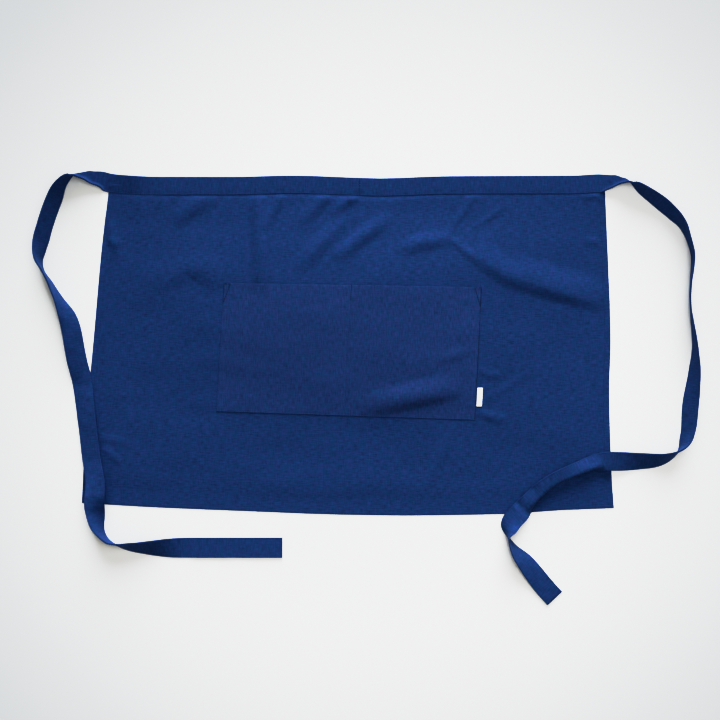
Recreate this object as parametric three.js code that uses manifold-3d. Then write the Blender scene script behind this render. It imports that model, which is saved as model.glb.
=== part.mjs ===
// A waiter's half apron of linen, laid flat and face up, with its two ties in loose loops.
// Millimetres. +X to the right, +Y towards the waist, +Z up. The surface it lies on is z = 0.
import * as THREE from "three";
import { mergeVertices } from "three/addons/utils/BufferGeometryUtils.js";
import Module from "manifold-3d";

// Cloth
const CLOTH = 1.2; // wall of one layer
const HEM_FOLD = 0.8; // what a turned hem adds to the layer
const GAP = 0.3; // clear space between sewn pieces

// Skirt
const SIDE_HEM = 10;
const BOTTOM_HEM = 20;
const SKIRT_COLUMN = 16; // spacing of the panel's facets from side to side
const SKIRT_ROW_FOLDED = 11; // spacing down the panel where it has folds
const SKIRT_ROW_FLAT = 30; // spacing further down, where it lies flat
const FOLDED_DEPTH = 180; // how far down from the waist the folds reach

// Waistband and ties
const STRIP_WIDTH = 27;
const TIE_END_WIDTH = 30;
const TIE_THICKNESS = 2;
const BAND_WALL = 1;
const SEAM_DEPTH = 12; // how much of the skirt the waistband takes in
const BAND_THICKNESS = 2 * BAND_WALL + CLOTH + 2 * GAP;
const SEAM_X = -15; // where the two strips are sewn together
const STRIP_STEP = 10; // spacing of the sections along a strip

// Pocket
const POCKET_HEM = 30;
const POCKET_RISE = 6.6; // how far the mouth stands off the skirt
const POCKET_COLUMNS = 24;
const POCKET_ROWS = 12;

// Label
const LABEL_WIDTH = 9;
const LABEL_LENGTH = 28;
const LABEL_THICKNESS = 1;
const LABEL_PLACE = 0.82; // its middle, as a share of the way down the pocket's right seam

// Heights that pieces rest at
const FLOOR = 0;
const ON_SKIRT = CLOTH + HEM_FOLD + GAP;
const CLIMBING = 1.7; // just off the skirt's edge, on the way up to it or down from it
const SKIRT_IN_BAND = BAND_WALL + GAP; // underside of the skirt between the waistband's two walls

// The skirt's cut edges. The sides run down from the waist, the hem from left to right.
const LEFT_SIDE = [
  { y: 306, x: -384 },
  { y: 210, x: -396 },
  { y: 87, x: -407 },
  { y: -60, x: -420 },
  { y: -172, x: -426 },
];
const RIGHT_SIDE = [
  { y: 306, x: 358 },
  { y: 170, x: 364 },
  { y: 70, x: 367 },
  { y: 0, x: 365 },
  { y: -120, x: 368 },
  { y: -180, x: 372 },
];
const HEM_LINE = [
  { x: -426, y: -172 },
  { x: -330, y: -178 },
  { x: -190, y: -184 },
  { x: -25, y: -190 },
  { x: 60, y: -191 },
  { x: 200, y: -189 },
  { x: 295, y: -183 },
  { x: 372, y: -180 },
];

// The middle of the waistband, from the left end of the skirt to the right end.
const BAND_LINE = [
  { x: -384, y: 307 },
  { x: -330, y: 303 },
  { x: -200, y: 303 },
  { x: -110, y: 305 },
  { x: -15, y: 302 },
  { x: 23, y: 301 },
  { x: 120, y: 304 },
  { x: 320, y: 305 },
  { x: 358, y: 307 },
];

// The pocket's edges, down its two sides.
const POCKET_LEFT = { topX: -212, topY: 157, bottomX: -224, bottomY: -35 };
const POCKET_RIGHT = { topX: 173, topY: 151, bottomX: 164, bottomY: -48 };
const POCKET_SEAM = 0.495; // place of the middle seam across the pocket

// Folds in the skirt: each crest runs from x, y to toX, toY and bows sideways in the middle.
// rise is the crest's height, and reach is how far its slope runs to each side.
const SKIRT_FOLDS = [
  { x: 108, y: 224, toX: 355, toY: 138, bow: -18, rise: 7, reach: 26 },
  { x: 36, y: 258, toX: -48, toY: 192, bow: 0, rise: 4.5, reach: 15 },
  { x: -26, y: 254, toX: -102, toY: 178, bow: 0, rise: 3, reach: 15 },
  { x: -6, y: 284, toX: -46, toY: 262, bow: 0, rise: 2.5, reach: 14 },
  { x: 52, y: 212, toX: 126, toY: 223, bow: 4, rise: 3, reach: 15 },
  { x: -226, y: 284, toX: -278, toY: 244, bow: 0, rise: 2.2, reach: 15 },
  { x: -314, y: 146, toX: -232, toY: 172, bow: 20, rise: 3.6, reach: 18 },
];
const FOLD_CLEAR_OF_POCKET = 10;
const FOLD_FULL_FROM_POCKET = 28;
const FOLD_CLEAR_OF_BAND = 4;
const FOLD_FULL_FROM_BAND = 26;

// The pucker across the foot of the right-hand pocket.
const POCKET_FOLD = { x: -25, y: -26, toX: 120, toY: 4, bow: 0, rise: 4.5, reach: 22 };

// The ties' ways over the surface: x, y is the strip's middle and roll its turn about its length, in degrees,
// from face up. A rolled strip stands on its lower edge at the height that rest gives.
const LEFT_TIE = [
  { x: -388, y: 308, roll: 0, rest: FLOOR },
  { x: -402, y: 313, roll: 34, rest: FLOOR },
  { x: -419, y: 316, roll: 56, rest: FLOOR },
  { x: -438, y: 316, roll: 82, rest: FLOOR },
  { x: -454, y: 305, roll: 107, rest: FLOOR },
  { x: -466, y: 277, roll: 127, rest: FLOOR },
  { x: -482, y: 228, roll: 127, rest: FLOOR },
  { x: -487, y: 208, roll: 112, rest: FLOOR },
  { x: -488, y: 191, roll: 99, rest: FLOOR },
  { x: -477, y: 161, roll: 92, rest: FLOOR },
  { x: -455, y: 128, roll: 103, rest: FLOOR },
  { x: -444, y: 105, roll: 122, rest: FLOOR },
  { x: -437, y: 78, roll: 150, rest: FLOOR },
  { x: -432, y: 50, roll: 172, rest: CLIMBING },
  { x: -426, y: 10, roll: 180, rest: ON_SKIRT },
  { x: -414, y: -75, roll: 180, rest: ON_SKIRT },
  { x: -408, y: -122, roll: 180, rest: ON_SKIRT },
  { x: -405, y: -175, roll: 165, rest: ON_SKIRT },
  { x: -401, y: -194, roll: 127, rest: CLIMBING },
  { x: -384, y: -224, roll: 96, rest: FLOOR },
  { x: -371, y: -233, roll: 76, rest: FLOOR },
  { x: -354, y: -236, roll: 60, rest: FLOOR },
  { x: -327, y: -238, roll: 42, rest: FLOOR },
  { x: -288, y: -239, roll: 12, rest: FLOOR },
  { x: -250, y: -239, roll: 0, rest: FLOOR },
  { x: -125, y: -239, roll: 0, rest: FLOOR },
];
const RIGHT_TIE = [
  { x: 362, y: 307, roll: 0, rest: FLOOR },
  { x: 371, y: 308, roll: 36, rest: FLOOR },
  { x: 383, y: 308, roll: 66, rest: FLOOR },
  { x: 394, y: 305, roll: 84, rest: FLOOR },
  { x: 414, y: 292, roll: 112, rest: FLOOR },
  { x: 437, y: 275, roll: 125, rest: FLOOR },
  { x: 458, y: 255, roll: 116, rest: FLOOR },
  { x: 471, y: 240, roll: 97, rest: FLOOR },
  { x: 483, y: 212, roll: 84, rest: FLOOR },
  { x: 486, y: 195, roll: 87, rest: FLOOR },
  { x: 482, y: 134, roll: 73, rest: FLOOR },
  { x: 489, y: 64, roll: 86, rest: FLOOR },
  { x: 489, y: 34, roll: 102, rest: FLOOR },
  { x: 483, y: -25, roll: 125, rest: FLOOR },
  { x: 477, y: -72, roll: 113, rest: FLOOR },
  { x: 465, y: -94, roll: 77, rest: FLOOR },
  { x: 442, y: -106, roll: 49, rest: FLOOR },
  { x: 409, y: -109, roll: 27, rest: CLIMBING },
  { x: 378, y: -108, roll: 6, rest: ON_SKIRT },
  { x: 343, y: -110, roll: -20, rest: ON_SKIRT },
  { x: 311, y: -118, roll: -58, rest: ON_SKIRT },
  { x: 274, y: -138, roll: -62, rest: ON_SKIRT },
  { x: 242, y: -161, roll: -56, rest: ON_SKIRT },
  { x: 220, y: -192, roll: -20, rest: ON_SKIRT },
  { x: 210, y: -209, roll: -62, rest: ON_SKIRT },
  { x: 209, y: -223, roll: -93, rest: FLOOR },
  { x: 221, y: -241, roll: -117, rest: FLOOR },
  { x: 240, y: -263, roll: -137, rest: FLOOR },
  { x: 266, y: -295, roll: -152, rest: FLOOR },
  { x: 284, y: -315, roll: -168, rest: FLOOR },
];

const LINEN_BLUE = 0x1c3f86;
const LABEL_WHITE = 0xf1efe8;

const wasm = await Module();
wasm.setup();

// Reads a table at a place between its rows, without overshooting them.
function steady(rows, at, value, place) {
  const last = rows.length - 1;
  const rising = at(rows[last]) > at(rows[0]);
  let i = 0;
  while (i < last - 1 && (rising ? place > at(rows[i + 1]) : place < at(rows[i + 1]))) i += 1;
  const slope = (k) => (value(rows[k + 1]) - value(rows[k])) / (at(rows[k + 1]) - at(rows[k]));
  const bend = (k) => {
    if (k === 0) return slope(0);
    if (k === last) return slope(last - 1);
    const product = slope(k - 1) * slope(k);
    return product <= 0 ? 0 : (2 * product) / (slope(k - 1) + slope(k));
  };
  const span = at(rows[i + 1]) - at(rows[i]);
  const t = THREE.MathUtils.clamp((place - at(rows[i])) / span, 0, 1);
  const ease = t * t * (3 - 2 * t);
  const start = bend(i) * span * t * (1 - t) * (1 - t);
  const end = bend(i + 1) * span * t * t * (t - 1);
  return value(rows[i]) * (1 - ease) + value(rows[i + 1]) * ease + start + end;
}

const byX = (row) => row.x;
const byY = (row) => row.y;
const leftSide = (y) => steady(LEFT_SIDE, byY, byX, y);
const rightSide = (y) => steady(RIGHT_SIDE, byY, byX, y);
const hemLine = (x) => steady(HEM_LINE, byX, byY, x);
const bandLine = (x) => steady(BAND_LINE, byX, byY, x);
const bandLowerEdge = (x) => bandLine(x) - STRIP_WIDTH / 2;

// Height of one fold at a point: a smooth crest that dies away at both ends.
function foldHeight(fold, x, y) {
  const along = new THREE.Vector2(fold.toX - fold.x, fold.toY - fold.y);
  const length = along.length();
  along.divideScalar(length);
  const s = ((x - fold.x) * along.x + (y - fold.y) * along.y) / length;
  if (s <= 0 || s >= 1) return 0;
  const aside = (y - fold.y) * along.x - (x - fold.x) * along.y - fold.bow * 4 * s * (1 - s);
  const across = Math.min(1, Math.abs(aside) / fold.reach);
  return fold.rise * Math.sin(Math.PI * s) * (1 - across * across) ** 2;
}

const pocketSide = (side, down, name) => THREE.MathUtils.lerp(side[`top${name}`], side[`bottom${name}`], down);

// How far a point lies outside the pocket.
function clearOfPocket(x, y) {
  const right = Math.max(POCKET_RIGHT.topX, POCKET_RIGHT.bottomX);
  const left = Math.min(POCKET_LEFT.topX, POCKET_LEFT.bottomX);
  const top = Math.max(POCKET_LEFT.topY, POCKET_RIGHT.topY);
  const bottom = Math.min(POCKET_LEFT.bottomY, POCKET_RIGHT.bottomY);
  return Math.max(left - x, x - right, bottom - y, y - top);
}

// Underside of the skirt: flat on the surface, raised in folds and where the waistband takes it in.
function skirtUnderside(x, y) {
  const belowBand = bandLowerEdge(x) - y;
  const inBand = 1 - THREE.MathUtils.smoothstep(belowBand, 0, FOLD_FULL_FROM_BAND);
  const pocketFade = THREE.MathUtils.smoothstep(clearOfPocket(x, y), FOLD_CLEAR_OF_POCKET, FOLD_FULL_FROM_POCKET);
  const bandFade = THREE.MathUtils.smoothstep(belowBand, FOLD_CLEAR_OF_BAND, FOLD_FULL_FROM_BAND);
  const folds = SKIRT_FOLDS.reduce((sum, fold) => sum + foldHeight(fold, x, y), 0);
  return SKIRT_IN_BAND * inBand + folds * pocketFade * bandFade;
}

function meshOf(name, positions, triangles, colour) {
  const geometry = new THREE.BufferGeometry();
  geometry.setAttribute("position", new THREE.Float32BufferAttribute(positions, 3));
  geometry.setIndex(triangles);
  geometry.computeVertexNormals();
  const material = new THREE.MeshStandardMaterial({ color: colour, roughness: 0.9, metalness: 0 });
  const mesh = new THREE.Mesh(geometry, material);
  mesh.name = name;
  return mesh;
}

// A closed sheet over a grid: pointAt gives x, y and the low and high faces' heights.
function clothPanel(name, columns, rows, pointAt, colour) {
  const positions = [];
  for (const face of ["high", "low"]) {
    for (const row of rows) {
      for (const column of columns) {
        const point = pointAt(column, row);
        positions.push(point.x, point.y, point[face]);
      }
    }
  }
  const wide = columns.length;
  const deep = rows.length;
  const high = (c, r) => r * wide + c;
  const low = (c, r) => wide * deep + r * wide + c;
  const triangles = [];
  const quad = (a, b, c, d) => triangles.push(a, b, c, a, c, d);
  for (let r = 0; r < deep - 1; r += 1) {
    for (let c = 0; c < wide - 1; c += 1) {
      quad(high(c, r), high(c, r + 1), high(c + 1, r + 1), high(c + 1, r));
      quad(low(c, r), low(c + 1, r), low(c + 1, r + 1), low(c, r + 1));
    }
    quad(high(0, r), low(0, r), low(0, r + 1), high(0, r + 1));
    quad(high(wide - 1, r + 1), low(wide - 1, r + 1), low(wide - 1, r), high(wide - 1, r));
  }
  for (let c = 0; c < wide - 1; c += 1) {
    quad(high(c + 1, 0), low(c + 1, 0), low(c, 0), high(c, 0));
    quad(high(c, deep - 1), low(c, deep - 1), low(c + 1, deep - 1), high(c + 1, deep - 1));
  }
  return meshOf(name, positions, triangles, colour);
}

// Grid lines from start to end, no further apart than step.
function gridLines(start, end, step) {
  const count = Math.ceil(Math.abs(end - start) / step);
  return Array.from({ length: count + 1 }, (unused, i) => start + ((end - start) * i) / count);
}

// Skirt: a panel whose hems are thicker than its field.
function makeSkirt() {
  const width = RIGHT_SIDE.at(-1).x - LEFT_SIDE.at(-1).x;
  const depth = LEFT_SIDE[0].y - HEM_LINE[0].y;
  const sideHem = SIDE_HEM / width;
  const foldedTo = FOLDED_DEPTH / depth;
  const hemFrom = 1 - BOTTOM_HEM / depth;
  const hemEdge = CLOTH / width;
  const columns = [
    0,
    ...gridLines(sideHem, 1 - sideHem, SKIRT_COLUMN / width).flatMap((u, i, all) => {
      if (i === 0) return [u, u + hemEdge];
      return i === all.length - 1 ? [u - hemEdge, u] : [u];
    }),
    1,
  ];
  const rows = [
    ...gridLines(0, foldedTo, SKIRT_ROW_FOLDED / depth),
    ...gridLines(foldedTo, hemFrom, SKIRT_ROW_FLAT / depth).slice(1),
    hemFrom + CLOTH / depth,
    1,
  ];
  const pointAt = (across, down) => {
    const levelY = THREE.MathUtils.lerp(LEFT_SIDE[0].y, HEM_LINE[0].y, down);
    const levelX = THREE.MathUtils.lerp(leftSide(levelY), rightSide(levelY), across);
    const top = bandLowerEdge(levelX) + SEAM_DEPTH;
    const y = THREE.MathUtils.lerp(top, hemLine(levelX), down);
    const x = THREE.MathUtils.lerp(leftSide(y), rightSide(y), across);
    const inHem = across < sideHem + hemEdge / 2 || across > 1 - sideHem - hemEdge / 2 || down > hemFrom;
    const hemFade = THREE.MathUtils.smoothstep(bandLowerEdge(x) - y, 0, FOLD_FULL_FROM_BAND);
    const low = skirtUnderside(x, y);
    return { x, y, low, high: low + CLOTH + (inHem ? HEM_FOLD * hemFade : 0) };
  };
  return clothPanel("skirt", columns, rows, pointAt, LINEN_BLUE);
}

// Pocket: a panel sewn down at its sides, its foot and its middle, and open along its top.
function makePocket() {
  const depth = POCKET_LEFT.topY - POCKET_LEFT.bottomY;
  const hemTo = POCKET_HEM / depth;
  const half = (from, to) => gridLines(from, to, 1 / POCKET_COLUMNS);
  const columns = [...half(0, POCKET_SEAM), ...half(POCKET_SEAM, 1).slice(1)];
  const rows = [0, hemTo / 2, hemTo, hemTo + CLOTH / depth, ...gridLines(hemTo, 1, 1 / POCKET_ROWS).slice(1)];
  const pointAt = (across, down) => {
    const edge = (name) =>
      THREE.MathUtils.lerp(pocketSide(POCKET_LEFT, down, name), pocketSide(POCKET_RIGHT, down, name), across);
    const x = edge("X");
    const y = edge("Y");
    const inHalf = across < POCKET_SEAM ? across / POCKET_SEAM : (across - POCKET_SEAM) / (1 - POCKET_SEAM);
    const arch = 1 - (2 * inHalf - 1) ** 4;
    const pouch = POCKET_RISE * arch * (1 - down * down);
    const pucker = foldHeight(POCKET_FOLD, x, y) * arch * (1 - down ** 8);
    const low = skirtUnderside(x, y) + CLOTH + GAP + pouch + pucker;
    return { x, y, low, high: low + CLOTH + (down <= hemTo ? HEM_FOLD : 0) };
  };
  return clothPanel("pocket", columns, rows, pointAt, LINEN_BLUE);
}

// Sections along a strip, each with its middle, its direction towards the lower edge and its face's direction.
// side is 1 for a strip that runs left from the middle seam and -1 for one that runs right.
function stripSections(rows, side) {
  const points = rows.map((row) => new THREE.Vector3(row.x, row.y, 0));
  const route = new THREE.CatmullRomCurve3(points, false, "centripetal");
  const last = rows.length - 1;
  const numbered = rows.map((row, index) => ({ ...row, index }));
  const read = (name, place) => steady(numbered, (row) => row.index, (row) => row[name], place);
  const sections = [];
  for (let i = 0; i < last; i += 1) {
    const places = gridLines(i, i + 1, STRIP_STEP / points[i].distanceTo(points[i + 1]));
    for (const place of i === 0 ? places : places.slice(1)) {
      const middle = route.getPoint(place / last);
      const heading = route.getTangent(place / last);
      const flatAside = new THREE.Vector3(-heading.y * side, heading.x * side, 0);
      const up = new THREE.Vector3(0, 0, 1);
      const roll = THREE.MathUtils.degToRad(read("roll", place));
      const aside = flatAside.clone().multiplyScalar(Math.cos(roll)).addScaledVector(up, Math.sin(roll));
      const face = up.clone().multiplyScalar(Math.cos(roll)).addScaledVector(flatAside, -Math.sin(roll));
      const halfWidth = read("width", place) / 2;
      const halfThickness = read("thickness", place) / 2;
      middle.z = read("rest", place) + halfWidth * Math.abs(aside.z) + halfThickness * Math.abs(face.z);
      sections.push({ middle, aside, face, halfWidth, halfThickness });
    }
  }
  return sections;
}

// A closed strip through its sections, as positions and triangles.
function sweptStrip(sections, side) {
  const corners = [
    [1, 1],
    [-1, 1],
    [-1, -1],
    [1, -1],
  ];
  const positions = [];
  for (const { middle, aside, face, halfWidth, halfThickness } of sections) {
    for (const [across, through] of corners) {
      const corner = middle.clone();
      corner.addScaledVector(aside, across * halfWidth);
      corner.addScaledVector(face, through * halfThickness);
      positions.push(corner.x, corner.y, corner.z);
    }
  }
  const triangles = [];
  const quad = (a, b, c, d) => {
    if (side > 0) triangles.push(a, b, c, a, c, d);
    else triangles.push(a, c, b, a, d, c);
  };
  const end = (sections.length - 1) * corners.length;
  for (let at = 0; at < end; at += corners.length) {
    for (let j = 0; j < corners.length; j += 1) {
      const next = (j + 1) % corners.length;
      quad(at + j, at + next, at + next + corners.length, at + j + corners.length);
    }
  }
  quad(3, 2, 1, 0);
  quad(end, end + 1, end + 2, end + 3);
  return { positions, triangles };
}

function solidOf({ positions, triangles }) {
  return new wasm.Manifold(
    new wasm.Mesh({
      numProp: 3,
      vertProperties: new Float32Array(positions),
      triVerts: new Uint32Array(triangles),
    }),
  );
}

// Waistband and tie: one strip, slotted along the skirt so that it binds the skirt's top edge on both faces.
function makeStrip(name, tie, side) {
  const seamX = SEAM_X - (side * GAP) / 2;
  const skirtEnd = tie[0].x;
  const bandRows = gridLines(seamX, skirtEnd, STRIP_STEP * 3)
    .slice(0, -1)
    .map((x) => ({ x, y: bandLine(x), roll: 0, rest: FLOOR, thickness: BAND_THICKNESS }));
  const tieRows = tie.map((row, i) => ({ ...row, thickness: i === 0 ? BAND_THICKNESS : TIE_THICKNESS }));
  const rows = [...bandRows, ...tieRows].map((row, i, all) => ({
    ...row,
    width: THREE.MathUtils.lerp(STRIP_WIDTH, TIE_END_WIDTH, i / (all.length - 1)),
  }));
  const strip = solidOf(sweptStrip(stripSections(rows, side), side));

  const slotHeight = CLOTH + 2 * GAP;
  const slotWidth = 2 * (SEAM_DEPTH + 2 * GAP);
  const slotEnd = skirtEnd + side * GAP * 4;
  const slotRows = gridLines(SEAM_X + side * GAP, slotEnd, STRIP_STEP * 3).map((x) => ({
    x,
    y: bandLowerEdge(x),
    roll: 0,
    rest: BAND_WALL,
    width: slotWidth,
    thickness: slotHeight,
  }));
  const slot = solidOf(sweptStrip(stripSections(slotRows, side), side));

  const cut = strip.subtract(slot).getMesh();
  const geometry = new THREE.BufferGeometry();
  geometry.setAttribute("position", new THREE.Float32BufferAttribute(cut.vertProperties, 3));
  geometry.setIndex(Array.from(cut.triVerts));
  const merged = mergeVertices(geometry);
  return meshOf(name, merged.attributes.position.array, Array.from(merged.index.array), LINEN_BLUE);
}

// Label: a folded ribbon pressed flat, standing out of the pocket's right side seam.
function makeLabel() {
  const seamLength = POCKET_RIGHT.topY - POCKET_RIGHT.bottomY;
  const pointAt = (across, along) => {
    const down = LABEL_PLACE + ((along - 0.5) * LABEL_LENGTH) / seamLength;
    return {
      x: pocketSide(POCKET_RIGHT, down, "X") + GAP + LABEL_WIDTH * across,
      y: pocketSide(POCKET_RIGHT, down, "Y"),
      low: CLOTH + GAP,
      high: CLOTH + GAP + LABEL_THICKNESS,
    };
  };
  return clothPanel("label", [0, 1], [0, 1], pointAt, LABEL_WHITE);
}

const apron = new THREE.Group();
apron.add(
  makeSkirt(),
  makeStrip("waistband_tie_left", LEFT_TIE, 1),
  makeStrip("waistband_tie_right", RIGHT_TIE, -1),
  makePocket(),
  makeLabel(),
);

// The origin is under the middle of the whole laid-out apron.
const outline = new THREE.Box3().setFromObject(apron);
const middle = outline.getCenter(new THREE.Vector3());
apron.position.set(-middle.x, -middle.y, -outline.min.z);
apron.updateMatrixWorld(true);

export default apron;
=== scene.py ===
import math
from collections import namedtuple

import bpy
import numpy as np
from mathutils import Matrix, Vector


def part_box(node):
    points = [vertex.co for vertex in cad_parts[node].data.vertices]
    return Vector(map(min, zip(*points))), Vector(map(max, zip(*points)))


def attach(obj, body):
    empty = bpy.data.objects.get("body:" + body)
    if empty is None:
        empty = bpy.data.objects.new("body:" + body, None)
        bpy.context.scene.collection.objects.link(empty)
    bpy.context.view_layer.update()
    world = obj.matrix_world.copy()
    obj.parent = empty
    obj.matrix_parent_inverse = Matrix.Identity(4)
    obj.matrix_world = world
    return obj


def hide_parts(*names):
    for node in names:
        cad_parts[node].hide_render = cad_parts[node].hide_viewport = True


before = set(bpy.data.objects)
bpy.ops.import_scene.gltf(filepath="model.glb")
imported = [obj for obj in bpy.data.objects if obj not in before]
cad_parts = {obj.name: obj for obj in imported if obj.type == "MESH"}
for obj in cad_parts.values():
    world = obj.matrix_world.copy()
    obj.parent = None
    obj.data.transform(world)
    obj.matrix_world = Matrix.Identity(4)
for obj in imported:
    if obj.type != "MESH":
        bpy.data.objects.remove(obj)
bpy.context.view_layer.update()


# Table top, light and camera
# The apron lies on a wide matt white table top. Soft daylight comes from beyond the waistband, a broad
# lamp hangs above the middle, and the camera looks straight down. Sizes in this section are in metres.
TABLE_WIDTH = 9.0
TABLE_WHITE = (0.87, 0.875, 0.885)
# The table's white turns towards this grey away from a middle point: painted shade for the light falling
# off towards the corners.
TABLE_PAINTED_SHADE_GREY = (0.423, 0.444, 0.463)
TABLE_PAINTED_SHADE_MIDDLE = (0.01, 0.0, 0.0)
TABLE_PAINTED_SHADE_STARTS = 0.33
TABLE_PAINTED_SHADE_FULL = 0.82
TABLE_CLOUDS_PER_METRE = 3.0
TABLE_CLOUD_DETAIL = 2.0
TABLE_CLOUD_SHARE = 0.08
TABLE_ROUGHNESS = 0.7
TABLE_GLOSS = 0.2
NOISE_MIDDLE = 0.5
VIEW_WIDTH = 1.08
VIEW_HEIGHT = 1.5
VIEW_PLACE = (-0.009, 0.042, VIEW_HEIGHT)
CAMERA_SENSOR = 36
DAYLIGHT_COLOUR = (0.93, 0.975, 1.03)
DAYLIGHT_STRENGTH = 3.55
DAYLIGHT_HEIGHT_ANGLE = 24
DAYLIGHT_WEST_ANGLE = -5
DAYLIGHT_SOFTNESS = 40
LAMP_COLOUR = (1.0, 0.985, 0.95)
LAMP_POWER = 6.1
LAMP_WIDTH = 1.0
LAMP_PLACE = (0.2, 0.12, 1.3)
ROOM_COLOUR = (1.0, 0.97, 0.88)
ROOM_STRENGTH = 0.235

# Like film, the picture deepens dark tones and levels off the pale ones.
ALL_COLOURS_CURVE = 3
Response = namedtuple("Response", "light shown")
RESPONSES = [
    Response(0.02, 0.0068),
    Response(0.05, 0.029),
    Response(0.1, 0.084),
    Response(0.2, 0.25),
    Response(0.25, 0.43),
    Response(0.3, 0.585),
    Response(0.4, 0.715),
    Response(0.5, 0.78),
    Response(0.65, 0.838),
    Response(0.8, 0.874),
    Response(1.0, 0.92),
]


class Shade:
    """A value in a material: a socket that takes part in sums as a number does."""

    # Where a Mix node has the sockets that a mix of colours uses.
    MIX_SHARE = 0
    MIX_FIRST = 6
    MIX_SECOND = 7
    MIX_COLOUR = 2

    def __init__(self, tree, socket=None):
        self.tree = tree
        self.socket = socket

    def node(self, kind, sockets=(), output=0, **settings):
        made = self.tree.nodes.new("ShaderNode" + kind)
        for name, value in settings.items():
            setattr(made, name, value)
        for name, value in dict(sockets).items():
            if isinstance(value, Shade):
                self.tree.links.new(value.socket, made.inputs[name])
            else:
                made.inputs[name].default_value = value
        return Shade(self.tree, made.outputs[output] if made.outputs else None)

    def maths(self, operation, *numbers):
        return self.node("Math", dict(enumerate(numbers)), operation=operation)

    def __add__(self, other):
        return self.maths("ADD", self, other)

    def __sub__(self, other):
        return self.maths("SUBTRACT", self, other)

    def __rsub__(self, other):
        return self.maths("SUBTRACT", other, self)

    def __mul__(self, other):
        return self.maths("MULTIPLY", self, other)

    __radd__ = __add__
    __rmul__ = __mul__

    def between(self, first, second):
        """The colour that lies this far from the first to the second."""
        ends = {self.MIX_SHARE: self, self.MIX_FIRST: first, self.MIX_SECOND: second}
        return self.node("Mix", ends, output=self.MIX_COLOUR, data_type="RGBA")


def new_material(name):
    material = bpy.data.materials.new(name)
    material.use_nodes = True
    material.node_tree.nodes.clear()
    return material, Shade(material.node_tree)


def surfaced(material, start, sockets):
    """Gives a material its surface, with the sockets that its finish sets."""
    surface = start.node("BsdfPrincipled", sockets)
    start.node("OutputMaterial", {"Surface": surface})
    return material


def opaque(colour):
    return (*colour, 1.0)


def table_finish():
    """White laminate with a faint unevenness, greyed away from its middle by painted shade that stands for
    the light falling off.
    """
    material, start = new_material("table_white")
    place = start.node("TexCoord", output="Object")
    # Painted shade: the share of grey grows with the distance from the middle.
    from_middle = start.node("VectorMath", {0: place, 1: TABLE_PAINTED_SHADE_MIDDLE}, operation="SUBTRACT")
    distance = start.node("VectorMath", {0: from_middle}, output="Value", operation="LENGTH")
    limits = {"Value": distance, "From Min": TABLE_PAINTED_SHADE_STARTS, "From Max": TABLE_PAINTED_SHADE_FULL}
    away = start.node("MapRange", limits, interpolation_type="SMOOTHSTEP")
    clouds = {"Vector": place, "Scale": TABLE_CLOUDS_PER_METRE, "Detail": TABLE_CLOUD_DETAIL}
    uneven = (start.node("TexNoise", clouds) - NOISE_MIDDLE) * TABLE_CLOUD_SHARE
    white = (away + uneven).between(opaque(TABLE_WHITE), opaque(TABLE_PAINTED_SHADE_GREY))
    looks = {"Base Color": white, "Roughness": TABLE_ROUGHNESS, "Specular IOR Level": TABLE_GLOSS}
    return surfaced(material, start, looks)


def new_object(name, data):
    made = bpy.data.objects.new(name, data)
    bpy.context.scene.collection.objects.link(made)
    return made


scene = bpy.context.scene
scene.view_settings.view_transform = "Standard"
scene.view_settings.use_curve_mapping = True
response = scene.view_settings.curve_mapping
response_curve = response.curves[ALL_COLOURS_CURVE]
for row in RESPONSES[:-1]:
    response_curve.points.new(*row)
response_curve.points[-1].location = RESPONSES[-1]
response.update()

table_mesh = bpy.data.meshes.new("table_top")
half_table = TABLE_WIDTH / 2
table_corners = [(x * half_table, y * half_table, 0) for x, y in [(-1, -1), (1, -1), (1, 1), (-1, 1)]]
table_mesh.from_pydata(table_corners, [], [(0, 1, 2, 3)])
table_mesh.materials.append(table_finish())
table_top = new_object("table_top", table_mesh)

daylight = bpy.data.lights.new("daylight", "SUN")
daylight.color = DAYLIGHT_COLOUR
daylight.energy = DAYLIGHT_STRENGTH
daylight.angle = math.radians(DAYLIGHT_SOFTNESS)
tilt_from_above = math.radians(90 - DAYLIGHT_HEIGHT_ANGLE)
new_object("daylight", daylight).rotation_euler = (-tilt_from_above, 0, math.radians(DAYLIGHT_WEST_ANGLE))

lamp = bpy.data.lights.new("lamp", "AREA")
lamp.shape = "DISK"
lamp.color = LAMP_COLOUR
lamp.energy = LAMP_POWER
lamp.size = LAMP_WIDTH
new_object("lamp", lamp).location = LAMP_PLACE

world = bpy.data.worlds.new("room")
world.use_nodes = True
world.node_tree.nodes["Background"].inputs["Color"].default_value = opaque(ROOM_COLOUR)
world.node_tree.nodes["Background"].inputs["Strength"].default_value = ROOM_STRENGTH
scene.world = world

camera = bpy.data.cameras.new("camera")
camera.sensor_width = CAMERA_SENSOR
camera.lens = CAMERA_SENSOR * VIEW_HEIGHT / VIEW_WIDTH
scene.camera = new_object("camera", camera)
scene.camera.location = VIEW_PLACE


# Skirt
# One panel of plain woven linen, lying flat with soft folds below the waist. Its sides and foot are
# turned to the back as hems, and the side hems are stitched. Sizes from here on are in millimetres.
MILLIMETRE = 0.001
TABLE_CLEARANCE = 0.02
CLOTH = 0.8
HEM_FOLD = 0.1
GAP = 0.15
SIDE_HEM = 10
BOTTOM_HEM = 20
STITCH_INSET = 1.4
STITCH_GROOVE = 0.02
STITCH_GROOVE_WIDTH = 1.3
HEM_RAMP = 4
SKIRT_STEP = 3.2
STRIP_WIDTH = 27
SEAM_DEPTH = 12
BAND_WALL = 0.8
SKIRT_IN_BAND = BAND_WALL + GAP
FOLD_FULL_FROM_BAND = 6
LIFT_FROM_BAND = 50

# Distances of the grid's lines from the panel's edges, closer together where each hem ends.
SIDE_LINES = [2.5, 5, 7, 8, 8.6, 9.2, 10, 10.8, 11.6, 12.5, 14]
FOOT_LINES = [3, 6, 9, 12, 15, 17, 18, 18.6, 19.2, 20, 20.8, 21.6, 22.5, 24]

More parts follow.
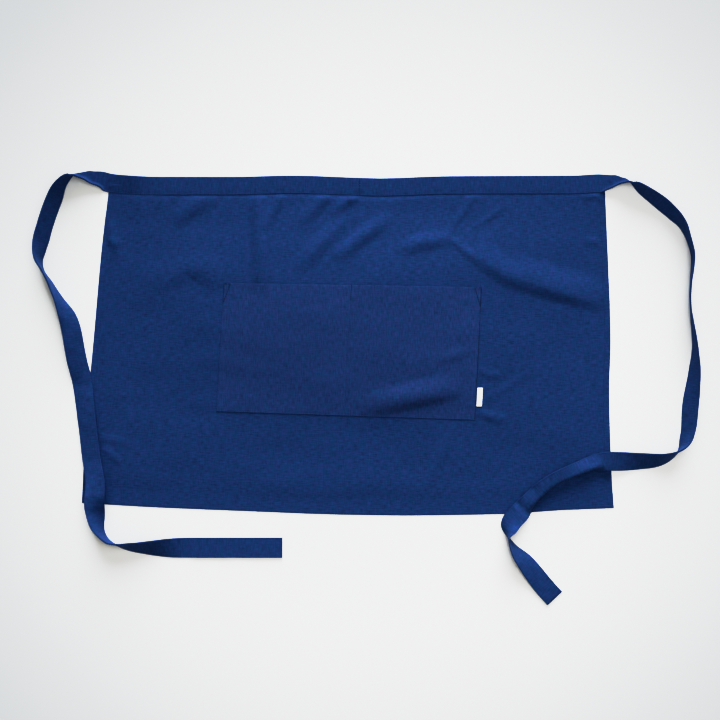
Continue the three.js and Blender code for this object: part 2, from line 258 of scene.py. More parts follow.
EdgePoint = namedtuple("EdgePoint", "x y")
LEFT_SIDE = [
    EdgePoint(-384, 306),
    EdgePoint(-396, 210),
    EdgePoint(-407, 87),
    EdgePoint(-420, -60),
    EdgePoint(-426, -172),
]
RIGHT_SIDE = [
    EdgePoint(358, 306),
    EdgePoint(364, 170),
    EdgePoint(367, 70),
    EdgePoint(365, 0),
    EdgePoint(368, -120),
    EdgePoint(372, -180),
]
HEM_LINE = [
    EdgePoint(-426, -172),
    EdgePoint(-330, -178),
    EdgePoint(-190, -184),
    EdgePoint(-25, -190),
    EdgePoint(60, -191),
    EdgePoint(200, -189),
    EdgePoint(295, -183),
    EdgePoint(372, -180),
]
BAND_LINE = [
    EdgePoint(-384, 307),
    EdgePoint(-330, 303),
    EdgePoint(-200, 303),
    EdgePoint(-110, 305),
    EdgePoint(-15, 302),
    EdgePoint(23, 301),
    EdgePoint(120, 304),
    EdgePoint(320, 305),
    EdgePoint(358, 307),
]

# Where the waistband lies tipped towards the skirt, in degrees.
BandTilt = namedtuple("BandTilt", "x tilt")
BAND_TILTS = [
    BandTilt(-390, -14),
    BandTilt(-365, -15),
    BandTilt(-335, -7),
    BandTilt(-305, 0),
    BandTilt(362, 0),
]

# A fold's crest runs from x, y to to_x, to_y and bows to the left of that way in its middle. Its slopes
# reach equally far to both sides, unless it leans: then the left one is longer by that share and the
# right one shorter.
Fold = namedtuple("Fold", "x y to_x to_y bow rise reach lean", defaults=[0])
SKIRT_FOLDS = [
    Fold(-350, 155, 330, 148, 0, 14, 205, -0.33),
    Fold(150, 208, 238, 150, 0, 4, 24, 0.2),
    Fold(196, 174, 370, 126, -3, 6.5, 30, 0.35),
    Fold(40, 262, -50, 190, 0, 5.5, 16),
    Fold(-16, 270, -106, 174, 0, 4.4, 18),
    Fold(6, 312, -54, 256, 0, 5, 13),
    Fold(-44, 306, -100, 243, 0, 4, 15),
    Fold(-116, 310, -152, 234, 0, 3.6, 11),
    Fold(-160, 318, -155, 140, 0, 6, 18),
    Fold(44, 204, 130, 224, 4, 4.2, 17),
    Fold(116, 220, 172, 304, 0, 2.4, 8),
    Fold(160, 238, 214, 278, 0, 1.8, 7),
    Fold(118, 230, 168, 188, 0, 2.4, 9),
    Fold(-228, 294, -292, 246, 0, 3.6, 19),
    Fold(-334, 146, -238, 190, 0, 2, 31, 0.3),
    Fold(-270, 192, -212, 154, 0, 2.8, 31, 0.3),
    Fold(-388, 264, -372, 190, 0, 2.2, 11),
    Fold(-390, 222, -364, 214, 0, 1.4, 10),
    Fold(318, 292, 354, 288, 0, 2.4, 9),
    Fold(326, 222, 354, 218, 0, 1.5, 9),
    Fold(-406, -72, -358, -82, 0, 1.1, 9),
    Fold(-396, -86, -364, -116, 0, 1.5, 8),
    Fold(160, -34, 214, -50, 0, 2.0, 10),
    Fold(164, -28, 254, 30, 0, 0.9, 8),
    Fold(160, 26, 210, 16, 0, 1.1, 8),
    Fold(128, -54, 96, -150, 0, 2.2, 13),
    Fold(-270, 92, -210, 100, 0, 0.9, 18),
    Fold(-268, 50, -150, 30, 0, 0.9, 20),
    Fold(-276, -24, -220, -21, 0, 0.7, 18),
]

# Faint swells left in the cloth from lying folded: wave length, heading in degrees, start and height.
Swell = namedtuple("Swell", "length heading start height")
SWELLS = [
    Swell(210, 75, 0.2, 0.45),
    Swell(133, 108, 1.4, 0.32),
    Swell(88, 62, 2.9, 0.20),
    Swell(71, 131, 4.4, 0.15),
    Swell(47, 84, 0.9, 0.09),
    Swell(34, 101, 3.6, 0.05),
]
SWELL_CLEAR = 14
SWELL_FULL = 46


def ease(share):
    """A share of the way that starts and ends slowly."""
    return share * share * (3 - 2 * share)


def soft_step(value, low, high):
    """Rises softly from 0 at the low value to 1 at the high one."""
    return ease(np.clip((value - low) / (high - low), 0, 1))


def steady(rows, at, value):
    """A smooth reader of a table's value at places between its rows, which never overshoots them."""
    ordered = sorted(rows, key=lambda row: getattr(row, at))
    places = np.array([getattr(row, at) for row in ordered], float)
    values = np.array([getattr(row, value) for row in ordered], float)
    slope = np.diff(values) / np.diff(places)
    product = slope[:-1] * slope[1:]
    level = product <= 0
    inner = np.where(level, 0, 2 * product / np.where(level, 1, slope[:-1] + slope[1:]))
    steepness = np.concatenate([slope[:1], inner, slope[-1:]])

    def read(place):
        before = np.clip(np.searchsorted(places, place, side="right") - 1, 0, len(places) - 2)
        after = before + 1
        span = places[after] - places[before]
        share = np.clip((place - places[before]) / span, 0, 1)
        eased = ease(share)
        leave = steepness[before] * span * share * (1 - share) ** 2
        arrive = steepness[after] * span * share * share * (share - 1)
        return values[before] * (1 - eased) + values[after] * eased + leave + arrive

    return read


def part_way(first, second, share):
    """What lies a share of the way from the first to the second."""
    return first + (second - first) * share


left_side = steady(LEFT_SIDE, "y", "x")
right_side = steady(RIGHT_SIDE, "y", "x")
hem_line = steady(HEM_LINE, "x", "y")
band_line = steady(BAND_LINE, "x", "y")
band_tilt = steady(BAND_TILTS, "x", "tilt")


def band_lower_edge(x):
    return band_line(x) - STRIP_WIDTH / 2


def fold_height(fold, x, y):
    """A smooth crest that dies away at both ends."""
    length = math.hypot(fold.to_x - fold.x, fold.to_y - fold.y)
    along_x = (fold.to_x - fold.x) / length
    along_y = (fold.to_y - fold.y) / length
    share = np.clip(((x - fold.x) * along_x + (y - fold.y) * along_y) / length, 0, 1)
    bowed = fold.bow * 4 * share * (1 - share)
    aside = (y - fold.y) * along_x - (x - fold.x) * along_y - bowed
    reach = fold.reach * np.where(aside > 0, 1 + fold.lean, 1 - fold.lean)
    across = np.minimum(1, np.abs(aside) / reach)
    return fold.rise * np.sin(np.pi * share) * (1 - across**2) ** 2


def swell_height(x, y):
    total = 0
    for swell in SWELLS:
        heading = math.radians(swell.heading)
        phase = (x * math.cos(heading) + y * math.sin(heading)) / swell.length
        total = total + swell.height * (1 + np.sin(2 * np.pi * phase + swell.start))
    return total


def skirt_underside(x, y):
    """Flat on the table, raised in folds and where the waistband takes it in."""
    below_band = band_lower_edge(x) - y
    in_band = 1 - soft_step(below_band, 0, LIFT_FROM_BAND)
    band_fade = soft_step(below_band, 0, FOLD_FULL_FROM_BAND)
    folds = sum(fold_height(fold, x, y) for fold in SKIRT_FOLDS)
    inside = np.minimum(np.minimum(x - left_side(y), right_side(y) - x), y - hem_line(x))
    swells = swell_height(x, y) * soft_step(inside, SWELL_CLEAR, SWELL_FULL)
    tipped = np.maximum(0, -below_band) * np.tan(np.radians(-band_tilt(x)))
    return SKIRT_IN_BAND * in_band + (folds + swells) * band_fade + tipped


def skirt_place(across, down):
    """Where a point of the panel lies on the table."""
    level_y = part_way(LEFT_SIDE[0].y, HEM_LINE[0].y, down)
    level_x = part_way(left_side(level_y), right_side(level_y), across)
    y = part_way(band_lower_edge(level_x) + SEAM_DEPTH, hem_line(level_x), down)
    return part_way(left_side(y), right_side(y), across), y


def groove(distance):
    """How far a row of stitches draws the cloth down at a distance from it."""
    return STITCH_GROOVE * np.exp(-((distance / STITCH_GROOVE_WIDTH) ** 2))


def skirt_thickness(x, y):
    """One layer in the field, more in the turned hems, drawn in along their stitches."""
    from_side = np.minimum(x - left_side(y), right_side(y) - x)
    from_foot = y - hem_line(x)
    in_side = 1 - soft_step(from_side, SIDE_HEM, SIDE_HEM + HEM_RAMP)
    in_foot = 1 - soft_step(from_foot, BOTTOM_HEM, BOTTOM_HEM + HEM_RAMP)
    below_band = band_lower_edge(x) - y
    hem = HEM_FOLD * np.maximum(in_side, in_foot) * soft_step(below_band, 0, LIFT_FROM_BAND)
    return CLOTH + hem - groove(from_side - SIDE_HEM + STITCH_INSET)


def grid_quads(numbers):
    """The faces of a grid of vertex numbers."""
    corners = (numbers[:-1, :-1], numbers[1:, :-1], numbers[1:, 1:], numbers[:-1, 1:])
    return np.stack([corner.ravel() for corner in corners], axis=1)


def even_lines(start, end, step):
    """Evenly spaced places from start to end, no further apart than the step."""
    return np.linspace(start, end, int(math.ceil(abs(end - start) / step)) + 1)


skirt_low_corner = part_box("skirt")[0]
FRAME_SHIFT_X = skirt_low_corner.x / MILLIMETRE - LEFT_SIDE[-1].x
FRAME_SHIFT_Y = skirt_low_corner.y / MILLIMETRE - min(point.y for point in HEM_LINE)


def cloth_object(name, points, faces, on_cloth, material):
    """A smooth mesh from points in millimetres, with each one's place on the flat cloth in metres."""
    mesh = bpy.data.meshes.new(name)
    shifted = (points + [FRAME_SHIFT_X, FRAME_SHIFT_Y, 0]) * MILLIMETRE
    mesh.from_pydata(shifted.tolist(), [], [list(face) for face in faces])
    attribute = mesh.attributes.new("on_cloth", "FLOAT_VECTOR", "POINT")
    flat = np.zeros((len(points), 3), np.float32)
    flat[:, :2] = on_cloth
    attribute.data.foreach_set("vector", flat.ravel())
    mesh.shade_smooth()
    mesh.materials.append(material)
    return new_object(name, mesh)


RIM_TURNS = [math.radians(turn) for turn in (60, 30, 0, -30, -60)]


def panel(name, x, y, low, high, material):
    """A closed sheet over a grid of points, with its edge rounded over by half its thickness."""
    rows, columns = x.shape
    top = np.stack([x, y, high], axis=-1).reshape(-1, 3)
    bottom = np.stack([x, y, low], axis=-1).reshape(-1, 3)
    numbers = np.arange(rows * columns).reshape(rows, columns)
    edge = np.concatenate(
        [numbers[:-1, 0], numbers[-1, :-1], numbers[:0:-1, -1], numbers[0, :0:-1]]
    )
    ahead = top[np.roll(edge, -1)] - top[np.roll(edge, 1)]
    outward = np.stack([ahead[:, 1], -ahead[:, 0]], axis=1)
    outward /= np.linalg.norm(outward, axis=1, keepdims=True)
    half = (top[edge, 2] - bottom[edge, 2]) / 2
    middle = (top[edge, 2] + bottom[edge, 2]) / 2
    rims = []
    for turn in RIM_TURNS:
        out = top[edge, :2] + outward * (half * math.cos(turn))[:, None]
        rims.append(np.column_stack([out, middle + half * math.sin(turn)]))
    points = np.concatenate([top, bottom, *rims])
    first_rim = 2 * rows * columns
    loops = [edge]
    loops += [first_rim + i * len(edge) + np.arange(len(edge)) for i in range(len(rims))]
    loops.append(edge + rows * columns)
    around = np.stack([np.append(loop, loop[0]) for loop in loops])
    faces = np.concatenate(
        [grid_quads(numbers), grid_quads(numbers + rows * columns)[:, ::-1], grid_quads(around)]
    )
    return cloth_object(name, points, faces, points[:, :2] * MILLIMETRE, material)


# Yarns and their uneven places are counted for each metre of cloth, across and along its grain.
LINEN_BLUE = (0.0203, 0.0528, 0.144)
GREENER_YARN = (0.74, 1.05, 0.98)
REDDER_YARN = (1.26, 0.95, 1.02)
HUE_CONTRAST = 2.0
HUES_ACROSS = 110
HUES_ALONG = 150
THREADS_PER_METRE = 1700
SLUBS_OVER_YARN = 640
SLUBS_WITH_YARN = 95
YARN_DETAIL = 1.0
WARP_SHARE = 0.4
WEFT_SHARE = 0.6
SLUB_CONTRAST = 1.15
CROSSING_CONTRAST = 0.06
SLUB_HEIGHT = 1.2
WEAVE_BUMP = 0.35
WEAVE_DEPTH = 0.3 * MILLIMETRE
LINEN_ROUGHNESS = 0.82
SLUB_ROUGHNESS = 0.12
LINEN_GLOSS = 0.15
LINEN_SHEEN = 0.12
LINEN_SHEEN_ROUGHNESS = 0.5
LINEN_SHEEN_TINT = (0.25, 0.45, 1.0)


def cloth_place(start):
    """Where a point of a surface lies on its flat cloth."""
    return start.node("Attribute", output="Vector", attribute_name="on_cloth")


def across_and_along(start, place):
    return [start.node("SeparateXYZ", {"Vector": place}, output=part) for part in "XY"]


def linen_finish(name, dye, turn=0):
    """Plain woven linen: two crossing sets of uneven threads in close shades of one dye."""
    material, start = new_material(name)
    turning = {"Vector": cloth_place(start), "Angle": math.radians(turn)}
    turned = start.node("VectorRotate", turning, rotation_type="Z_AXIS")
    across, along = across_and_along(start, turned)

    def streaks(over_across, over_along):
        at = start.node("CombineXYZ", {"X": across * over_across, "Y": along * over_along})
        noise = {"Vector": at, "Scale": 1.0, "Detail": YARN_DETAIL}
        return start.node("TexNoise", noise, noise_dimensions="2D")

    warp_slubs = streaks(SLUBS_OVER_YARN, SLUBS_WITH_YARN)
    weft_slubs = streaks(SLUBS_WITH_YARN, SLUBS_OVER_YARN)
    slubs = warp_slubs * WARP_SHARE + weft_slubs * WEFT_SHARE
    thread_turn = math.pi * THREADS_PER_METRE
    warp_wave = start.maths("SINE", across * thread_turn)
    weft_wave = start.maths("SINE", along * thread_turn)
    crossing = warp_wave * weft_wave
    greener = [part * share for part, share in zip(dye, GREENER_YARN)]
    redder = [part * share for part, share in zip(dye, REDDER_YARN)]
    hue = streaks(HUES_ACROSS, HUES_ALONG) * HUE_CONTRAST - (HUE_CONTRAST - 1) / 2
    yarn = hue.between(opaque(greener), opaque(redder))
    tone = 1.0 + (slubs - NOISE_MIDDLE) * SLUB_CONTRAST + crossing * CROSSING_CONTRAST
    height = start.maths("ABSOLUTE", crossing) + slubs * SLUB_HEIGHT
    relief = {"Height": height, "Strength": WEAVE_BUMP, "Distance": WEAVE_DEPTH}
    looks = {
        "Base Color": start.node("VectorMath", {0: yarn, "Scale": tone}, operation="SCALE"),
        "Roughness": LINEN_ROUGHNESS + slubs * SLUB_ROUGHNESS,
        "Normal": start.node("Bump", relief, output="Normal"),
        "Specular IOR Level": LINEN_GLOSS,
        "Sheen Weight": LINEN_SHEEN,
        "Sheen Roughness": LINEN_SHEEN_ROUGHNESS,
        "Sheen Tint": opaque(LINEN_SHEEN_TINT),
    }
    return surfaced(material, start, looks)


def skirt_grid_lines():
    """Where the grid's lines cross the panel, as shares of its width and depth."""
    width = right_side(0) - left_side(0)
    depth = LEFT_SIDE[0].y - HEM_LINE[0].y
    edge = (CLOTH + HEM_FOLD) / 2
    side = np.array([edge, *SIDE_LINES])
    foot = np.array([edge, *FOOT_LINES])
    field_columns = even_lines(side[-1], width - side[-1], SKIRT_STEP)[1:-1]
    field_rows = even_lines(0, depth - foot[-1], SKIRT_STEP)[:-1]
    columns = np.concatenate([side, field_columns, width - side[::-1]]) / width
    rows = np.concatenate([field_rows, depth - foot[::-1]]) / depth
    return columns, rows


skirt_columns, skirt_rows = skirt_grid_lines()
skirt_x, skirt_y = skirt_place(*np.meshgrid(skirt_columns, skirt_rows))
skirt_low = skirt_underside(skirt_x, skirt_y)
skirt_high = skirt_low + skirt_thickness(skirt_x, skirt_y)
linen = linen_finish("linen", LINEN_BLUE)
skirt = panel("skirt_panel", skirt_x, skirt_y, skirt_low, skirt_high, linen)
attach(skirt, "root")
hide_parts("skirt")

UP = np.array([0.0, 0.0, 1.0])
STITCH_LENGTH = 2.6
STITCH_SPACING = 3.3
STITCH_RISE = [-0.5, 0.5, 0.9, 0.5, -0.5]
SIDE_STITCHES_END = -171.4
SKIRT_RUN_POINTS = 400
THREAD_BLUE = (0.0275, 0.067, 0.182)
THREAD_TWIST_PAINTED_SHADE = 0.7
THREAD_HALF_WIDTH = 0.28
THREAD_HEIGHT = 0.3
THREAD_SIDES = 6
TWIST_ALONG = 9000
TWIST_AROUND = 6
TWIST_BUMP = 0.3
TWIST_DEPTH = 0.1 * MILLIMETRE
THREAD_ROUGHNESS = 0.6
THREAD_GLOSS = 0.25


def thread_finish(name, blue):
    """Spun sewing thread with its twist showing, darker in the twist's grooves by painted shade."""
    material, start = new_material(name)
    along, around = across_and_along(start, cloth_place(start))
    twist = start.maths("SINE", along * TWIST_ALONG + around * TWIST_AROUND)
    # Painted shade: the thread's colour darkens where the twist's bump is low, in its grooves.
    shaded = [THREAD_TWIST_PAINTED_SHADE * part for part in blue]
    relief = {"Height": twist, "Strength": TWIST_BUMP, "Distance": TWIST_DEPTH}
    looks = {
        "Base Color": (twist * 0.5 + 0.5).between(opaque(shaded), opaque(blue)),
        "Roughness": THREAD_ROUGHNESS,
        "Normal": start.node("Bump", relief, output="Normal"),
        "Specular IOR Level": THREAD_GLOSS,
    }
    return surfaced(material, start, looks)


thread = thread_finish("thread", THREAD_BLUE)


def distance_along(points):
    """How far along a run each of its points is."""
    steps = np.linalg.norm(np.diff(points, axis=0), axis=1)
    return np.concatenate([[0], np.cumsum(steps)])


def read_along(table, run, at):
    """A table's points or ways at distances along their run."""
    return np.stack([np.interp(at, run, column) for column in table.T], axis=-1)


def stitches(name, runs, finish, half_width):
    """Rows of lockstitches as one piece. Each run is its points along the cloth and the way up at each."""
    all_points = []
    all_faces = []
    all_places = []
    rings = len(STITCH_RISE)
    ring_at = np.linspace(-0.5, 0.5, rings) * STITCH_LENGTH
    turns = np.linspace(0, 2 * np.pi, THREAD_SIDES, endpoint=False)
    numbers = np.arange(rings * THREAD_SIDES).reshape(rings, THREAD_SIDES)
    sides = grid_quads(np.hstack([numbers, numbers[:, :1]]))
    first = 0
    for points, up in runs:
        run = distance_along(points)
        count = max(1, int(run[-1] // STITCH_SPACING))
        middles = (np.arange(count) + 0.5) * run[-1] / count
        at = np.clip(middles[:, None] + ring_at, 0, run[-1])
        centre = read_along(points, run, at)
        rise = read_along(up, run, at)
        rise /= np.linalg.norm(rise, axis=-1, keepdims=True)
        ahead = centre[:, -1:] - centre[:, :1]
        ahead = ahead / np.linalg.norm(ahead, axis=-1, keepdims=True)
        aside = np.cross(ahead, rise)
        centre = centre + rise * (np.array(STITCH_RISE) * THREAD_HEIGHT)[None, :, None]
        ring = (
            centre[:, :, None]
            + aside[:, :, None] * (np.cos(turns) * half_width)[None, None, :, None]
            + rise[:, :, None] * (np.sin(turns) * THREAD_HEIGHT)[None, None, :, None]
        )
        ring[..., 2] = np.maximum(ring[..., 2], TABLE_CLEARANCE)
        all_points.append(ring.reshape(-1, 3))
        along = np.broadcast_to(at[:, :, None], ring.shape[:3]) * MILLIMETRE
        around = np.broadcast_to(turns, ring.shape[:3])
        all_places.append(np.stack([along, around], axis=-1).reshape(-1, 2))
        for i in range(count):
            start = first + i * rings * THREAD_SIDES
            all_faces.extend((sides + start).tolist())
            all_faces.append((numbers[0][::-1] + start).tolist())
            all_faces.append((numbers[-1] + start).tolist())
        first += count * rings * THREAD_SIDES
    points = np.concatenate(all_points)
    places = np.concatenate(all_places)
    piece = cloth_object(name, points, all_faces, places, finish)
    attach(piece, "root")
    return piece


def laid_run(x, y, height):
    """A row of stitches on a lying face: its points, and the way up at each."""
    points = np.column_stack([x, y, height])
    return points, np.broadcast_to(UP, points.shape)


def skirt_hem_runs():
    """Stitches down both side hems, on the skirt's face."""
    down = np.linspace(band_lower_edge(0) - GAP, SIDE_STITCHES_END, SKIRT_RUN_POINTS)
    inset = SIDE_HEM - STITCH_INSET
    sides = [left_side(down) + inset, right_side(down) - inset]
    return [laid_run(x, down, skirt_underside(x, down) + skirt_thickness(x, down)) for x in sides]


skirt_stitches = stitches("skirt_stitches", skirt_hem_runs(), thread, THREAD_HALF_WIDTH)


# Pocket
# One patch panel of the same linen with a folded top hem, sewn to the skirt at both sides, along its foot
# and down the middle, so that it makes two pockets. Each top corner has a small stitched triangle.
POCKET_HEM = 30
POCKET_RISE = 4.5
MOUTH_FULLNESS = 4
PUCKER_FULLNESS = 8
POCKET_SEAM = 0.495
POCKET_STEP = 2.6
POCKET_CLOTH = 0.52
POCKET_GAP = 0.06
LOOSE_CORNER = 0.25
POCKET_HEM_FOLD = 0.03
POCKET_BLUE = (0.0250, 0.0554, 0.150)
POCKET_WEAVE_TURN = 88
SEAM_TURN = 9
SEAM_RIDGE = 0.06
EDGE_STITCH = 1.2
CORNER_WIDTH = 9.5
CORNER_DEPTH = 29

# Distances of the grid's lines from the pocket's edges, its middle seam and its mouth.
POCKET_EDGE_LINES = [1.5, 2.2, 2.9, 3.8, 5, 7, 8.5, 9.5, 10.5, 11.5, 13]
POCKET_SEAM_LINES = [-4, -2.5, -1.4, -0.7, 0, 0.7, 1.4, 2.5, 4]
POCKET_MOUTH_LINES = [1, 3, 6, 10, 14, 18, 22, 25, 27, 27.9, 28.6, 29.3, 30.2, 31.2, 32.5, 34]

PocketCorner = namedtuple("PocketCorner", "x y")
POCKET_TOP_LEFT = PocketCorner(-212, 157)
POCKET_TOP_RIGHT = PocketCorner(173, 151)
POCKET_BOTTOM_LEFT = PocketCorner(-224, -35)
POCKET_BOTTOM_RIGHT = PocketCorner(164, -48)
POCKET_FOLDS = [
    Fold(-30, -42, 150, 0, 0, 9, 24, 0.35),
    Fold(104, 40, 168, 62, 0, 1.5, 11),
    Fold(150, 112, 146, 56, 0, 1.6, 8),
]


def pocket_place(across, down):
    """Where a point of the pocket lies on the table."""
    left = [part_way(top, bottom, down) for top, bottom in zip(POCKET_TOP_LEFT, POCKET_BOTTOM_LEFT)]
    right = [part_way(top, bottom, down) for top, bottom in zip(POCKET_TOP_RIGHT, POCKET_BOTTOM_RIGHT)]
    return part_way(left[0], right[0], across), part_way(left[1], right[1], across)


POCKET_WIDTH = POCKET_TOP_RIGHT.x - POCKET_TOP_LEFT.x
POCKET_DEPTH = POCKET_TOP_LEFT.y - POCKET_BOTTOM_LEFT.y


def pocket_heights(across, down):
    """The pocket's underside and face: held down at its seams, and standing off the skirt at its mouth."""
    x, y = pocket_place(across, down)
    in_left = across < POCKET_SEAM
    in_half = np.where(in_left, across / POCKET_SEAM, (across - POCKET_SEAM) / (1 - POCKET_SEAM))
    arch = 1 - (2 * in_half - 1) ** MOUTH_FULLNESS
    pouch = POCKET_RISE * arch * (1 - down**2)
    puckers = sum(fold_height(fold, x, y) for fold in POCKET_FOLDS) * arch * (1 - down**PUCKER_FULLNESS)
    loose = LOOSE_CORNER * (1 - across) ** 2 * down**2
    low = skirt_underside(x, y) + CLOTH + POCKET_GAP + loose + pouch + puckers
    from_side = np.minimum(across, 1 - across) * POCKET_WIDTH
    from_foot = (1 - down) * POCKET_DEPTH
    from_mouth = down * POCKET_DEPTH
    from_seam = np.abs(across - POCKET_SEAM) * POCKET_WIDTH
    turned = 1 - soft_step(np.minimum(from_side, from_foot), SEAM_TURN, SEAM_TURN + HEM_RAMP)
    hem = 1 - soft_step(from_mouth, POCKET_HEM, POCKET_HEM + HEM_RAMP)
    rows = np.maximum(groove(from_side - EDGE_STITCH), groove(from_foot - EDGE_STITCH))
    rows = np.maximum(rows, groove(from_seam))
    thick = POCKET_CLOTH + np.maximum(SEAM_RIDGE * turned, POCKET_HEM_FOLD * hem) - rows
    return low, low + thick


def pocket_grid_lines():
    """Where the grid's lines cross the panel, as shares of its width and depth."""
    edge = np.array([(POCKET_CLOTH + SEAM_RIDGE) / 2, *POCKET_EDGE_LINES])
    seam = POCKET_SEAM * POCKET_WIDTH + np.array(POCKET_SEAM_LINES)
    mouth = np.array(POCKET_MOUTH_LINES)
    left = even_lines(edge[-1], seam[0], POCKET_STEP)[1:-1]
    right = even_lines(seam[-1], POCKET_WIDTH - edge[-1], POCKET_STEP)[1:-1]
    field = even_lines(mouth[-1], POCKET_DEPTH - edge[-1], POCKET_STEP)[1:-1]
    columns = np.concatenate([edge, left, seam, right, POCKET_WIDTH - edge[::-1]]) / POCKET_WIDTH
    rows = np.concatenate([mouth, field, POCKET_DEPTH - edge[::-1]]) / POCKET_DEPTH
    return np.meshgrid(columns, rows)


pocket_across, pocket_down = pocket_grid_lines()
pocket_x, pocket_y = pocket_place(pocket_across, pocket_down)
pocket_low, pocket_high = pocket_heights(pocket_across, pocket_down)
pocket_linen = linen_finish("pocket_linen", POCKET_BLUE, POCKET_WEAVE_TURN)
pocket = panel("pocket_panel", pocket_x, pocket_y, pocket_low, pocket_high, pocket_linen)
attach(pocket, "root")
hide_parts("pocket")


def pocket_run(across, down):
    """A row of stitches laid on the pocket's face."""
    across, down = np.broadcast_arrays(across, down)
    return laid_run(*pocket_place(across, down), pocket_heights(across, down)[1])


POCKET_RUN_POINTS = 300
INSET_ACROSS = EDGE_STITCH / POCKET_WIDTH
INSET_DOWN = EDGE_STITCH / POCKET_DEPTH
FROM_LEFT = np.linspace(INSET_ACROSS, 1 - INSET_ACROSS, POCKET_RUN_POINTS)
FROM_TOP = np.linspace(INSET_DOWN, 1 - INSET_DOWN, POCKET_RUN_POINTS)
TACK_HALF_WIDTH = 0.5
MIDDLE_TACK = 0.12
# A darker thread for these stitches: painted shade for the thin shadows along the pocket's right edge, at
# the top of its middle seam and by its corner triangles.
TACK_THREAD_PAINTED_SHADE_BLUE = (0.010, 0.026, 0.072)


def pocket_tack_runs():
    """The side that holds the label, the top of the middle seam and the triangles at the top corners: real
    stitches, sewn in a thread darkened to paint the thin shadows along these edges.
    """
    runs = [
        pocket_run(1 - INSET_ACROSS, FROM_TOP),
        pocket_run(POCKET_SEAM, MIDDLE_TACK * FROM_TOP),
    ]
    tip = CORNER_DEPTH / POCKET_DEPTH
    for side, reach in [(INSET_ACROSS, CORNER_WIDTH), (1 - INSET_ACROSS, -CORNER_WIDTH)]:
        out = side + reach / POCKET_WIDTH
        runs.append(pocket_run(side, tip * FROM_TOP))
        runs.append(pocket_run(part_way(side, out, FROM_TOP), INSET_DOWN))
        runs.append(pocket_run(part_way(out, side, FROM_TOP), part_way(INSET_DOWN, tip, FROM_TOP)))
    return runs


pocket_seam_runs = [
    pocket_run(INSET_ACROSS, FROM_TOP),
    pocket_run(FROM_LEFT, 1 - INSET_DOWN),
    pocket_run(POCKET_SEAM, FROM_TOP),
]
pocket_stitches = stitches("pocket_stitches", pocket_seam_runs, thread, THREAD_HALF_WIDTH)
# This thread's dark colour is painted shade along the pocket's edges.
tack_thread_painted_shade = thread_finish("tack_thread_painted_shade", TACK_THREAD_PAINTED_SHADE_BLUE)
pocket_tacks_painted_shade = stitches("pocket_tacks_painted_shade", pocket_tack_runs(), tack_thread_painted_shade, TACK_HALF_WIDTH)


# Label
# A short plain ribbon, woven in white and folded in two. Its ends are caught in the pocket's right side
# seam, and its fold lies free on the skirt.
LABEL_WIDTH = 8.2
LABEL_LENGTH = 28
LABEL_PLACE = 0.826
RIBBON = 0.32
FOLD_INSIDE = 0.5 * RIBBON
FOLD_OUTSIDE = FOLD_INSIDE + RIBBON
RIBBON_LIFT = 0.9
LIFT_LOST_AT_ENDS = 0.6
LABEL_STEPS = 24
RIBBON_STEPS = 12
RIBBON_WHITE = (0.86, 0.86, 0.87)
RIBBON_SHADE = 0.9
RIBBON_RIBS_PER_METRE = 2600
RIBBON_CLOUDS_PER_METRE = 300
RIBBON_CLOUD_DETAIL = 2.0
RIB_SHADING = 0.25
CLOUD_SHADING = 0.5
RIBBON_THREAD_HEIGHT = 0.5
RIB_BUMP = 0.4
RIB_DEPTH = 0.1 * MILLIMETRE
RIBBON_ROUGHNESS = 0.7
RIBBON_GLOSS = 0.3
RIBBON_SHEEN = 0.15


def ribbon_finish():
    """White woven ribbon with fine crosswise ribs."""
    material, start = new_material("label_ribbon")
    place = cloth_place(start)
    across, along = across_and_along(start, place)
    rib_turn = 2 * math.pi * RIBBON_RIBS_PER_METRE
    ribs = start.maths("SINE", along * rib_turn)
    threads = start.maths("SINE", across * rib_turn)
    clouds = {"Vector": place, "Scale": RIBBON_CLOUDS_PER_METRE, "Detail": RIBBON_CLOUD_DETAIL}
    shade = ribs * threads * RIB_SHADING + start.node("TexNoise", clouds) * CLOUD_SHADING
    shaded = [RIBBON_SHADE * part for part in RIBBON_WHITE]
    height = ribs + threads * RIBBON_THREAD_HEIGHT
    relief = {"Height": height, "Strength": RIB_BUMP, "Distance": RIB_DEPTH}
    looks = {
        "Base Color": shade.between(opaque(RIBBON_WHITE), opaque(shaded)),
        "Roughness": RIBBON_ROUGHNESS,
        "Normal": start.node("Bump", relief, output="Normal"),
        "Specular IOR Level": RIBBON_GLOSS,
        "Sheen Weight": RIBBON_SHEEN,
    }
    return surfaced(material, start, looks)


def ribbon_section():
    """The folded ribbon seen end on, followed round its outer face and back along its inner one."""
    reach = LABEL_WIDTH - FOLD_OUTSIDE
    flat = np.linspace(0, reach, RIBBON_STEPS)
    turns = np.linspace(-np.pi / 2, np.pi / 2, RIBBON_STEPS)[1:-1]
    section_x = []
    section_z = []
    for radius, way in [(FOLD_OUTSIDE, 1), (FOLD_INSIDE, -1)]:
        section_x += [flat, reach + radius * np.cos(turns), flat[::-1]]
        section_z += [
            np.full_like(flat, -way * radius),
            way * radius * np.sin(turns),
            np.full_like(flat, way * radius),
        ]
    return np.concatenate(section_x), np.concatenate(section_z)


